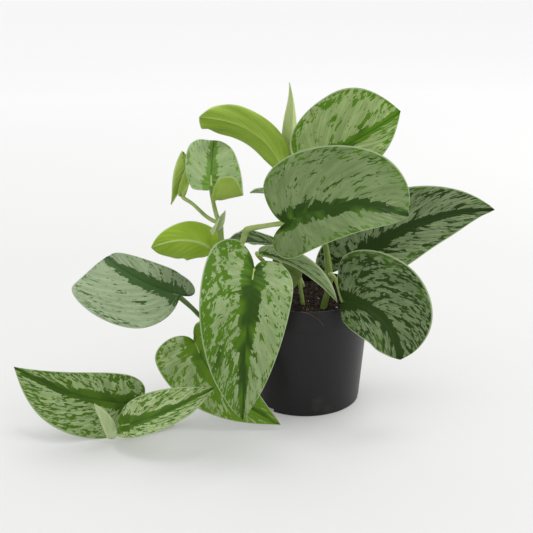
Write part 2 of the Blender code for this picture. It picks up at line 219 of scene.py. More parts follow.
for degrees in NOTCH_ANGLES:
    block = bmesh.ops.create_cube(bm, size=MM)["verts"]
    size = Vector((BASE_RADIUS - RING_INNER + 4, NOTCH_WIDTH, 2 * NOTCH_HEIGHT))
    bmesh.ops.scale(bm, verts=block, vec=size)
    bmesh.ops.translate(bm, verts=block, vec=Vector(((RING_INNER + BASE_RADIUS) / 2, 0, 0)) * MM)
    bmesh.ops.rotate(bm, verts=block, matrix=Matrix.Rotation(math.radians(degrees), 3, "Z"))
cutter_mesh = bpy.data.meshes.new("openings")
bm.to_mesh(cutter_mesh)
bm.free()
cutter = put("openings", cutter_mesh)
boolean = pot.modifiers.new("openings", "BOOLEAN")
boolean.operation, boolean.object = "DIFFERENCE", cutter
settle(pot)
bpy.data.objects.remove(cutter)
pot.data.shade_smooth()
pot.data.set_sharp_from_angle(angle=math.radians(SHARP_ANGLE))

# Black polypropylene: nearly matt, a fine mould grain, and a grey bloom of scuffs and
# compost dust that is strongest near the foot.
pot_finish, tree, shader = finish_of("moulded black polypropylene")
where = node(tree, "TexCoord").outputs["Object"]
dust = node(tree, "TexNoise", {"Vector": where, "Scale": 60, "Detail": 6.0, "Roughness": 0.65})
height = node(tree, "SeparateXYZ", {"Vector": where}).outputs["Z"]
near_foot = node(tree, "MapRange", {
    "Value": height, "From Min": 22 * MM, "From Max": 0.0, "To Max": 0.09})
dusty = node(tree, "MapRange", {
    "Value": node(tree, "Math", (dust, near_foot), operation="ADD"),
    "From Min": 0.60, "From Max": 0.78, "To Max": 0.55})
long_way = node(tree, "Mapping", {"Vector": where, "Scale": (1, 1, 0.12)})
scuffs = node(tree, "TexNoise", {"Vector": long_way, "Scale": 900, "Detail": 2.0})
scuffed = node(tree, "MapRange", {
    "Value": scuffs, "From Min": 0.62, "From Max": 0.80, "To Max": 0.35})
worn = node(tree, "Math", (dusty, scuffed), operation="MAXIMUM")
grain = node(tree, "TexNoise", {"Vector": where, "Scale": 1400, "Detail": 2.0})
feed(tree, shader, {
    "Base Color": node(tree, "Mix", {0: worn, 6: colour("#101011"), 7: colour("#343230")},
                       data_type="RGBA"),
    "Roughness": node(tree, "MapRange", {"Value": worn, "To Min": 0.40, "To Max": 0.62}),
    "Normal": node(tree, "Bump", {"Height": grain, "Strength": 0.25, "Distance": 0.00005}),
    "IOR": 1.49, "Specular IOR Level": 0.35})
pot.data.materials.clear()
pot.data.materials.append(pot_finish)
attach(pot, "root")
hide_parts("nursery_pot")


# ---- Compost: dark moist peat with bark and white perlite, poured in and pressed by hand.
# It fills the pot to 8 mm under the rim, with loose crumbs, fibres and grains on its top.
SOIL_TOP, SOIL_GAP = 82.0, 0.35
SOIL_RINGS, SOIL_STEPS = 40, 144
SOIL_CROWN, SOIL_DISH = 0.4, 2.0             # raised in the middle, lower at the wall
CALM_FROM, CALM_WIDTH = 52.0, 6.0            # the lumps die out towards this radius
soil_edge = RIM_RADIUS - WALL - SOIL_GAP


def soil_height(x, y):
    """Height of the compost's lumpy top, in millimetres."""
    far = math.hypot(x, y)
    place = Vector((x, y, 0))
    lumps = noise.fractal(place / 9.0, 1.0, 2.0, 3) * 1.5 + noise.noise(place / 2.2) * 0.45
    calm = min(1.0, (CALM_FROM - far) / CALM_WIDTH)
    return SOIL_TOP + SOIL_CROWN - SOIL_DISH * (far / soil_edge) ** 3 + lumps * calm


bm = bmesh.new()
rings = [[bm.verts.new((0, 0, soil_height(0, 0) * MM))]]
angles = [2 * math.pi * k / SOIL_STEPS for k in range(SOIL_STEPS)]
side = ((soil_edge, SHOULDER + 1.8), (body_radius(SHOULDER) - WALL - SOIL_GAP, SHOULDER),
        (body_radius(FLOOR + 2) - WALL - SOIL_GAP, FLOOR + 2), (36.0, FLOOR + SOIL_GAP))
for far, z in [(soil_edge * i / SOIL_RINGS, None) for i in range(1, SOIL_RINGS + 1)] + [*side]:
    row = [(far * math.cos(a), far * math.sin(a)) for a in angles]
    rings.append([bm.verts.new((x * MM, y * MM, (soil_height(x, y) if z is None else z) * MM))
                  for x, y in row])
rings.append([bm.verts.new((0, 0, (FLOOR + SOIL_GAP) * MM))])
for inner, outer in zip(rings, rings[1:]):
    for k in range(SOIL_STEPS):
        n = (k + 1) % SOIL_STEPS
        corners = [inner[k % len(inner)], outer[k % len(outer)], outer[n % len(outer)],
                   inner[n % len(inner)]]
        bm.faces.new(list(dict.fromkeys(corners)))
bmesh.ops.recalc_face_normals(bm, faces=bm.faces)
soil_mesh = bpy.data.meshes.new("compost")
bm.to_mesh(soil_mesh)
bm.free()
soil_mesh.shade_smooth()
compost = put("compost", soil_mesh)

# Moist peat: almost black brown, with coarser brown bark and no shine.
peat_finish, tree, shader = finish_of("moist peat compost")
where = node(tree, "TexCoord").outputs["Object"]
crumbs = node(tree, "TexNoise", {"Vector": where, "Scale": 420, "Detail": 5.0,
                                 "Roughness": 0.7})
browner = node(tree, "MapRange", {"Value": crumbs, "From Min": 0.35, "From Max": 0.75})
feed(tree, shader, {
    "Base Color": node(tree, "Mix", {0: browner, 6: colour("#100c09"), 7: colour("#33261c")},
                       data_type="RGBA"),
    "Normal": node(tree, "Bump", {"Height": crumbs, "Strength": 0.9, "Distance": 0.0008}),
    "Roughness": 0.9, "Specular IOR Level": 0.25})
soil_mesh.materials.append(peat_finish)
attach(compost, "root")
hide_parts("soil")


def new_tree(name, sockets):
    """A geometry node tree with its group input and output, and one more input per socket."""
    tree = bpy.data.node_groups.new(name, "GeometryNodeTree")
    tree.interface.new_socket("Geometry", in_out="INPUT", socket_type="NodeSocketGeometry")
    for label, kind in sockets.items():
        tree.interface.new_socket(label, in_out="INPUT", socket_type="NodeSocket" + kind)
    tree.interface.new_socket("Geometry", in_out="OUTPUT", socket_type="NodeSocketGeometry")
    return tree, node(tree, "NodeGroupInput").outputs, node(tree, "NodeGroupOutput")


def close_tree(tree, last, given, out):
    """Ends a tree in Realize Instances and Set Material."""
    real = node(tree, "GeometryNodeRealizeInstances", {"Geometry": last})
    dressed = node(tree, "GeometryNodeSetMaterial", {"Geometry": real,
                                                     "Material": given["Material"]})
    feed(tree, out, (dressed,))


def set_tree(piece, tree, values):
    """Puts a tree on a piece, with its inputs set."""
    modifier = piece.modifiers.new(tree.name, "NODES")
    modifier.node_group = tree
    for item in tree.interface.items_tree:
        if item.in_out == "INPUT" and item.name in values:
            modifier[item.identifier] = values[item.name]


# Loose grains: points spread over the compost's top, each with a small uneven lump.
scatter, given, out = new_tree("loose_grains", {
    "Density": "Float", "Smallest": "Vector", "Largest": "Vector", "Sink": "Float",
    "Seed": "Int", "Material": "Material"})
spread = node(scatter, "GeometryNodeDistributePointsOnFaces", {
    "Mesh": given["Geometry"], "Density": given["Density"], "Seed": given["Seed"]})
lump = node(scatter, "GeometryNodeMeshIcoSphere", {"Radius": 1.0, "Subdivisions": 1})
turned = node(scatter, "FunctionNodeRandomValue", {
    0: (0, 0, 0), 1: (6.28, 6.28, 6.28), "Seed": given["Seed"]}, data_type="FLOAT_VECTOR")
sized = node(scatter, "FunctionNodeRandomValue", {
    0: given["Smallest"], 1: given["Largest"], "Seed": given["Seed"]}, data_type="FLOAT_VECTOR")
grains = node(scatter, "GeometryNodeInstanceOnPoints", {
    "Points": spread, "Instance": lump, "Rotation": turned, "Scale": sized})
real = node(scatter, "GeometryNodeRealizeInstances", {"Geometry": grains})
wobble = node(scatter, "TexNoise", {"Scale": 900, "Detail": 1.0})
centred = node(scatter, "VectorMath", {0: wobble.outputs["Color"], 1: (0.5, 0.5, 0.5)},
               operation="SUBTRACT")
pushed = node(scatter, "VectorMath", {0: centred, "Scale": given["Sink"]}, operation="SCALE")
uneven = node(scatter, "GeometryNodeSetPosition", {"Geometry": real, "Offset": pushed})
close_tree(scatter, uneven, given, out)

# Perlite is expanded volcanic glass: chalk white, rough, in grains of 1 to 2 mm.
perlite_finish, tree, shader = finish_of("white perlite")
where = node(tree, "TexCoord").outputs["Object"]
pores = node(tree, "TexNoise", {"Vector": where, "Scale": 1500, "Detail": 3.0})
feed(tree, shader, {
    "Base Color": node(tree, "Mix", {0: pores, 6: colour("#8d867c"), 7: colour("#e8e5df")},
                       data_type="RGBA"), "Roughness": 0.95})

# Pine bark and coir: dry, brown and dull, streaked along the fibre.
bark_finish, tree, shader = finish_of("brown bark and coir fibre")
where = node(tree, "TexCoord").outputs["Object"]
streaks = node(tree, "TexNoise", {"Vector": where, "Scale": 700, "Detail": 4.0})
feed(tree, shader, {
    "Base Color": node(tree, "Mix", {0: streaks, 6: colour("#2c1c12"), 7: colour("#7a5a3e")},
                       data_type="RGBA"), "Roughness": 0.8})

# Each kind: grains to a square metre, smallest and largest half sizes in millimetres, seed.
for name, density, small, large, seed, finish in (
        ("compost_crumbs", 260000, (0.5, 0.5, 0.4), (1.5, 1.3, 1.0), 3, peat_finish),
        ("bark_chips", 22000, (1.0, 0.4, 0.3), (3.2, 0.9, 0.6), 8, bark_finish),
        ("coir_fibres", 30000, (1.5, 0.10, 0.10), (5.0, 0.18, 0.18), 5, bark_finish),
        ("perlite_grains", 2600, (0.5, 0.5, 0.4), (1.3, 1.1, 0.9), 21, perlite_finish)):
    bm = bmesh.new()
    bm.from_mesh(soil_mesh)
    low = [f for f in bm.faces if f.normal.z < 0.3 or f.calc_center_median().xy.length > 49 * MM]
    bmesh.ops.delete(bm, geom=low, context="FACES")
    top = bpy.data.meshes.new(name)
    bm.to_mesh(top)
    bm.free()
    piece = put(name, top)
    set_tree(piece, scatter, {
        "Density": float(density), "Smallest": Vector(small) * MM, "Seed": seed,
        "Largest": Vector(large) * MM, "Sink": 0.5 * MM, "Material": finish})
    settle(piece)
    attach(piece, "root")


# ---- Stems: round living shoots, smooth and green with pale flecks, that swell at each joint.
# Two rise from the compost and one trails over the rim on the left and lies on the table.
shoots, given, out = new_tree("shoot", {
    "Sides": "Int", "Step": "Float", "Joint Spacing": "Float", "Joint Swell": "Float",
    "Unevenness": "Float", "Material": "Material"})
rounded = node(shoots, "GeometryNodeCurveSplineType", {"Curve": given["Geometry"]},
               spline_type="CATMULL_ROM")
steps = node(shoots, "GeometryNodeResampleCurve", {"Curve": rounded, "Length": given["Step"]},
             mode="LENGTH")
run = node(shoots, "GeometryNodeSplineParameter")
phase = node(shoots, "Math", (run.outputs["Length"], given["Joint Spacing"]),
             operation="DIVIDE")
part_way = node(shoots, "Math", (phase, 1.0), operation="PINGPONG")
bulge = node(shoots, "MapRange", {
    "Value": part_way, "From Min": 0.94, "From Max": 1.0, "To Max": given["Joint Swell"]},
    interpolation_type="SMOOTHSTEP")
swell = node(shoots, "Math", (bulge, 1.0), operation="ADD")
thick = node(shoots, "Math", (node(shoots, "GeometryNodeInputRadius"), swell),
             operation="MULTIPLY")
marked = node(shoots, "GeometryNodeStoreNamedAttribute", {
    "Geometry": steps, "Name": "along", "Value": run.outputs["Factor"]},
    data_type="FLOAT", domain="POINT")
ring = node(shoots, "GeometryNodeCurvePrimitiveCircle", {"Resolution": given["Sides"],
                                                         "Radius": 1.0})
skin = node(shoots, "GeometryNodeCurveToMesh", {
    "Curve": marked, "Profile Curve": ring, "Scale": thick, "Fill Caps": True})
wobble = node(shoots, "TexNoise", {"Scale": 160.0, "Detail": 2.0})
about = node(shoots, "Math", (wobble.outputs["Fac"], 0.5), operation="SUBTRACT")
amount = node(shoots, "Math", (about, given["Unevenness"]), operation="MULTIPLY")
outward = node(shoots, "VectorMath", {0: node(shoots, "GeometryNodeInputNormal"),
                                      "Scale": amount}, operation="SCALE")
uneven = node(shoots, "GeometryNodeSetPosition", {"Geometry": skin, "Offset": outward})
close_tree(shoots, uneven, given, out)


SHOOT_STEP = 0.7                             # length of one ring of faces along a shoot


def grow_shoot(name, rows, finish, spacing=1.0, swell=0.0, uneven=0.25, sides=20):
    """A round shoot through rows of x, y, z and radius."""
    curve = bpy.data.curves.new(name, "CURVE")
    curve.dimensions = "3D"
    spline = curve.splines.new("POLY")
    spline.points.add(len(rows) - 1)
    for point, (x, y, z, radius) in zip(spline.points, rows):
        point.co = (x * MM, y * MM, z * MM, 1)
        point.radius = radius * MM
    route = put(name, curve)
    set_tree(route, shoots, {
        "Sides": sides, "Step": SHOOT_STEP * MM, "Joint Spacing": spacing * MM,
        "Joint Swell": swell, "Unevenness": uneven * MM, "Material": finish})
    mesh = shape_of(route)
    bpy.data.objects.remove(route)
    mesh.name = name
    mesh.shade_smooth()
    piece = put(name, mesh)
    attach(piece, "root")
    return piece


PLANT_IOR = 1.42                             # the waxy outer skin of stems and leaves


def shoot_finish(name, pale, deep, joint, flecks=0.35):
    """Smooth green skin: a soft lengthwise change of colour, pale flecks and a waxy gloss."""
    made, tree, shader = finish_of(name)
    where = node(tree, "TexCoord").outputs["Object"]
    clouds = node(tree, "TexNoise", {"Vector": where, "Scale": 110, "Detail": 3.0})
    paler = node(tree, "MapRange", {"Value": clouds, "From Min": 0.3, "From Max": 0.7})
    tint = node(tree, "Mix", {0: paler, 6: colour(deep), 7: colour(pale)}, data_type="RGBA")
    spots = node(tree, "TexNoise", {"Vector": where, "Scale": 900, "Detail": 2.0})
    fleck = node(tree, "MapRange", {"Value": spots, "From Min": 0.58, "From Max": 0.72,
                                    "To Max": flecks})
    flecked = node(tree, "Mix", {0: fleck, 6: tint, 7: colour(joint)}, data_type="RGBA")
    along = node(tree, "Attribute", attribute_name="along").outputs["Fac"]
    end = node(tree, "MapRange", {"Value": along, "From Min": 0.72, "From Max": 1.0,
                                  "To Max": 0.75})
    feed(tree, shader, {
        "Base Color": node(tree, "Mix", {0: end, 6: flecked, 7: colour(joint)},
                           data_type="RGBA"),
        "Normal": node(tree, "Bump", {"Height": spots, "Strength": 0.3, "Distance": 0.0001}),
        "Roughness": 0.38, "IOR": PLANT_IOR})
    return made


stem_finish = shoot_finish("living green stem", "#7b9240", "#5f7a2c", "#a3b872")
STEMS = {
    "stem_right": [
        (14, -23, 74, 2.6), (14, -23, 84, 2.6), (18, -22, 100, 2.4), (18, -20, 111, 3.0),
        (16, -15, 129, 2.3), (10, -4, 154, 2.2), (3, 9, 176, 2.1), (-5, 20, 190, 1.8),
        (-6, 22.5, 196, 1.2)],
    "stem_left": [
        (-24, -24, 74, 2.4), (-24, -24, 84, 2.4), (-44, -30, 104, 2.3), (-61, -30, 125, 2.2),
        (-64, -30, 140, 2.2), (-65, -28, 154, 2.6), (-65.5, -27.5, 158, 2.0)],
    "stem_trailing": [
        (-30, -4, 74, 2.6), (-30, -4, 84, 2.6), (-46, -12, 97, 2.5), (-64, -20, 90, 2.4),
        (-76, -28, 60, 2.4), (-86, -38, 28, 2.4), (-98, -52, 8, 2.4), (-110, -62, 3, 2.4),
        (-124, -70, 6, 2.3), (-135, -75, 11, 2.1), (-139, -77, 13, 1.6)],
}
for name, rows in STEMS.items():
    piece = grow_shoot(name + "_shoot", rows, stem_finish, spacing=23.0, swell=0.30, sides=28)
    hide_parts(name)

# A dry brown root fibre that hangs over the front of the rim.
fibre = grow_shoot("root_fibre", [
    (-6, -49, 84, 0.22), (-5, -51.6, 89.5, 0.25), (-3, -53.1, 90.2, 0.25),
    (3, -53.3, 88.0, 0.24), (9, -52.9, 83.5, 0.22), (12, -52.2, 78.5, 0.18)],
    bark_finish, uneven=0.1, sides=8)


# ---- Front leaf: the largest blade, which hangs in front of the pot with its tip down.
# A living leaf of silver pothos, velvety on top: silver patches run out along the side
# veins from a ragged green band on the midrib. It grows from the left stem on its petiole.
def unit(v):
    """Vectors of length one."""
    v = np.asarray(v, float)
    return v / np.linalg.norm(v, axis=-1, keepdims=True)


LOBE_SHARE = 0.4                             # the margin from the notch to the widest place


def outline(t, lobe, widest, full, sinus):
    """One margin of the blade: across 0 to 1, and along, from the notch to the tip."""
    low = t < LOBE_SHARE
    s = np.where(low, t / LOBE_SHARE, (t - LOBE_SHARE) / (1 - LOBE_SHARE))
    a, b, c, d = (1 - s) ** 3, 3 * s * (1 - s) ** 2, 3 * s * s * (1 - s), s ** 3
    across = np.where(low, sinus * b + c + d, a + b + full * c)
    behind = -1.6 * lobe * b - 1.25 * lobe * c + widest * d
    ahead = widest * a + (widest + 0.30) * b + (0.82 + 0.18 * full) * c + d
    return across, np.where(low, behind, ahead)


def midrib_frames(leaf, y):
    """Place, along, up and across at fractions y of the midrib, and its length."""
    base, mid, tip = (np.array(leaf[k], float) for k in ("base", "mid", "tip"))
    knee = 2 * mid - (base + tip) / 2
    s = np.linspace(0, 1, 129)[:, None]
    curve = (1 - s) ** 2 * base + 2 * s * (1 - s) * knee + s * s * tip
    run = np.concatenate(([0], np.cumsum(np.linalg.norm(np.diff(curve, axis=0), axis=1))))
    length = run[-1]
    s = np.interp(y, run / length, s[:, 0])[..., None]
    place = (1 - s) ** 2 * base + 2 * s * (1 - s) * knee + s * s * tip
    along = unit((1 - s) * (knee - base) + s * (tip - knee))
    face = unit(leaf["face"])
    up = unit(face - along * (along @ face)[..., None])
    place = place + along * np.minimum(y, 0)[..., None] * length
    return place, along, up, np.cross(along, up), length


LOBE_REACH = 1.12                            # how far a lobe goes behind the base, in lobes


def blade_surface(leaf, u, t):
    """Points and upward directions of the shaped blade; u < 0 is its left half."""
    length = midrib_frames(leaf, np.zeros(1))[4]
    points, normals = np.zeros(u.shape + (3,)), np.zeros(u.shape + (3,))
    relief = leaf_relief(leaf, u, t, length)
    for half, side in ((0, 1), (1, -1)):
        part = (u >= 0) if side > 0 else (u < 0)
        out, v = np.abs(u[part]), t[part]
        lobe = leaf["lobe"][half] / length
        edge_x, edge_y = outline(v, lobe, leaf["widest"][half], leaf["full"][half],
                                 leaf.get("sinus", 0.10))
        # Each row of faces follows a side vein, which leaves the midrib and bends forward.
        start = np.clip((v - 0.1) / 0.9, 0, 1) ** 1.8
        bend_x, bend_y = 0.55 * edge_x, start + 0.35 * (edge_y - start)
        x = 2 * out * (1 - out) * bend_x + out * out * edge_x
        y = (1 - out) ** 2 * start + 2 * out * (1 - out) * bend_y + out * out * edge_y
        if "blunt" in leaf:
            reach = LOBE_REACH * lobe
            y = np.where(y < 0, reach * (np.maximum(0, 1 + y / reach) ** leaf["blunt"] - 1), y)
        # The half folds up at the midrib and cups evenly towards its margin.
        place, along, up, across, _ = midrib_frames(leaf, y)
        width = leaf["width"][half]
        fold = math.radians(leaf["fold"])
        bend = math.radians(leaf["cup"][half]) / width
        turn = fold + bend * x * width
        sideways = (np.sin(turn) - math.sin(fold)) / bend * side
        lift = (math.cos(fold) - np.cos(turn)) / bend
        point = place + across * sideways[:, None] + up * lift[:, None]
        normal = up * np.cos(turn)[:, None] - across * (side * np.sin(turn))[:, None]
        # The lobe behind the base may roll forward.
        curl = math.radians(leaf.get("curl", (0, 0))[half])
        if curl:
            back = np.maximum(-y, 0) * length
            rate = curl / (lobe * length)
            point += along * (back - np.sin(rate * back) / rate)[:, None]
            point += up * ((1 - np.cos(rate * back)) / rate)[:, None]
            tilt = (rate * back)[:, None]
            normal = normal * np.cos(tilt) + along * np.sin(tilt)
        points[part], normals[part] = point + normal * relief[part][:, None], normal
    return points, normals


VEIN_SPACING = 5.5                           # from one side vein to the next
QUILT_RISE, QUILT_SWEEP = 0.26, 0.18         # the skin's swell between them, and its slant
FURROW_DEPTH, FURROW_WIDTH = 0.75, 1.3       # the midrib's dent in the upper skin


def leaf_relief(leaf, u, t, length):
    """How far the skin stands above the even blade: furrow, side veins, waves and ripples."""
    luck = np.random.default_rng(leaf["seed"])
    width = np.where(u >= 0, leaf["width"][0], leaf["width"][1])
    furrow = -FURROW_DEPTH * np.exp(-(u * width / FURROW_WIDTH) ** 2) * (1 - 0.6 * t)
    veins = length / VEIN_SPACING
    quilt = (QUILT_RISE * np.cos(2 * math.pi * veins * (t - QUILT_SWEEP * np.abs(u)))
             * np.sin(math.pi * np.abs(u)) ** 0.8)
    waves = np.zeros_like(u)
    for _ in range(3):
        count, phase, size = luck.uniform(1.0, 4.0), luck.uniform(0, 6.28), luck.uniform(0.3, 0.8)
        waves += size * np.sin(2 * math.pi * count * t + phase + np.sign(u) * 1.3)
    ripple = leaf.get("ripple", 1.0) * waves * np.abs(u) ** 3 * np.minimum(1, 12 * t * (1 - t))
    swell = 0.5 * np.sin(2.6 * u + luck.uniform(0, 6.28)) * np.sin(math.pi * t)
    return furrow + quilt * leaf.get("quilt", 1.0) + ripple + swell


VEIN_UNIT = 100.0                            # millimetres to one unit of the vein map


ROWS, COLUMNS = (1.7, 60, 190), (0.75, 12, 28)   # faces to a millimetre, fewest and most
SKIN, SKIN_THINNER = 0.22, 0.10              # from the middle of the blade to a skin
RIB_DEPTH, RIB_WIDTH = 0.9, 0.9              # the midrib's raised back


def grow_blade(name, leaf, top, under):
    """A thin closed blade: its upper skin and margin in one finish and its back in another.

    Its map "veins" holds the distance from the midrib along a side vein and the place of
    that vein; its map "blade" holds the same as shares of the whole, u and t.
    """
    span = np.linalg.norm(np.subtract(leaf["tip"], leaf["base"]))
    rows = int(np.clip(ROWS[0] * span, *ROWS[1:]))
    half = int(np.clip(max(leaf["width"]) * COLUMNS[0], *COLUMNS[1:]))
    out = (np.arange(half + 1) / half) ** 1.15
    u = np.concatenate((-out[:0:-1], out))
    u, t = np.meshgrid(u, np.arange(rows + 1) / rows)
    u, t = u.astype(float), t.astype(float)
    points, normals = blade_surface(leaf, u, t)
    width = np.where(u >= 0, leaf["width"][0], leaf["width"][1])
    skin = SKIN - SKIN_THINNER * np.abs(u)
    rib = RIB_DEPTH * np.exp(-(u * width / RIB_WIDTH) ** 2) * (1 - 0.75 * t)
    upper = points + normals * skin[..., None]
    lower = points - normals * (skin + rib)[..., None]
    cols = u.shape[1]
    count = u.size
    ids = np.arange(count).reshape(u.shape)
    quads = np.stack((ids[:-1, :-1], ids[:-1, 1:], ids[1:, 1:], ids[1:, :-1]), -1).reshape(-1, 4)
    rims = []
    for col in (0, cols - 1):
        low, high = ids[:-1, col], ids[1:, col]
        rim = np.stack((low, high, high + count, low + count), -1)
        rims.append(rim if col == 0 else rim[:, ::-1])
    faces = np.vstack((quads, quads[:, ::-1] + count, *rims))
    mesh = bpy.data.meshes.new(name)
    mesh.from_pydata((np.vstack((upper.reshape(-1, 3), lower.reshape(-1, 3))) * MM).tolist(),
                     [], faces.tolist())
    backs = np.zeros(len(faces), np.int32)
    backs[len(quads):2 * len(quads)] = 1
    mesh.polygons.foreach_set("material_index", backs)
    middle = half                            # the midrib's column
    steps = np.linalg.norm(np.diff(points, axis=1), axis=2)
    run = np.concatenate((np.zeros((rows + 1, 1)), np.cumsum(steps, axis=1)), axis=1)
    across = run - run[:, middle:middle + 1]
    along = np.zeros_like(u)
    for side, part in ((1, slice(middle, None)), (-1, slice(0, middle))):
        inner = middle + side * int(0.6 * half)
        step = np.linalg.norm(np.diff(points[:, inner], axis=0), axis=1)
        along[:, part] = np.concatenate(([0], np.cumsum(step)))[:, None]
    for label, pair in (("veins", (across, along)), ("blade", (u, t))):
        grid = mesh.uv_layers.new(name=label)
        scale = VEIN_UNIT if label == "veins" else 1.0
        flat = np.tile(np.stack(pair, -1).reshape(-1, 2) / scale, (2, 1))[faces.ravel()]
        grid.data.foreach_set("uv", flat.ravel())
    bm = bmesh.new()
    bm.from_mesh(mesh)
    bmesh.ops.remove_doubles(bm, verts=bm.verts, dist=0.00002)
    bmesh.ops.dissolve_degenerate(bm, edges=bm.edges, dist=0.00001)
    bm.to_mesh(mesh)
    bm.free()
    mesh.materials.append(top)
    mesh.materials.append(under)
    mesh.shade_smooth()
    piece = put(name, mesh)
    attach(piece, "root")
    return piece


VEIN_SWEEP = 0.45                            # how far a side vein slants towards the tip


def vein_coordinates(tree):
    """The blade's own directions: a grid in centimetres, swept forward along the side veins,
    then u, its size, t, the distance from the midrib in millimetres, and the swept length."""
    shares, lengths = [node(tree, "SeparateXYZ", (node(tree, "UVMap", uv_map=label),)).outputs
                       for label in ("blade", "veins")]
    out = node(tree, "Math", (shares["X"],), operation="ABSOLUTE")
    aside = node(tree, "Math", (lengths["X"],), operation="ABSOLUTE")
    across = node(tree, "Math", (aside, VEIN_UNIT), operation="MULTIPLY")
    along = node(tree, "Math", (lengths["Y"], VEIN_UNIT / 10), operation="MULTIPLY")
    swept = node(tree, "Math", (across, -VEIN_SWEEP / 10, along), operation="MULTIPLY_ADD")
    over = node(tree, "Math", (lengths["X"], VEIN_UNIT / 10), operation="MULTIPLY")
    return (node(tree, "CombineXYZ", (over, swept)), shares["X"], out, shares["Y"], across,
            swept)


def streaky(tree, grid, long, wide, seed, detail=4.0, rough=0.6, bent=0.0):
    """Noise whose features are long millimetres along the side veins and wide across them."""
    laid = node(tree, "Mapping", {"Vector": grid, "Scale": (10 / long, 10 / wide, 1),
                                  "Location": (seed * 3.7, seed * 5.3, seed * 1.9)})
    return node(tree, "TexNoise", {"Vector": laid, "Scale": 1.0, "Detail": detail,
                                   "Roughness": rough, "Distortion": bent})


RAGGED = 0.36                                # how far small cells tear a patch's edge
EVEN_COVER, PATCH_EDGE = 0.53, 0.010         # half silver, half green; softness of the edge


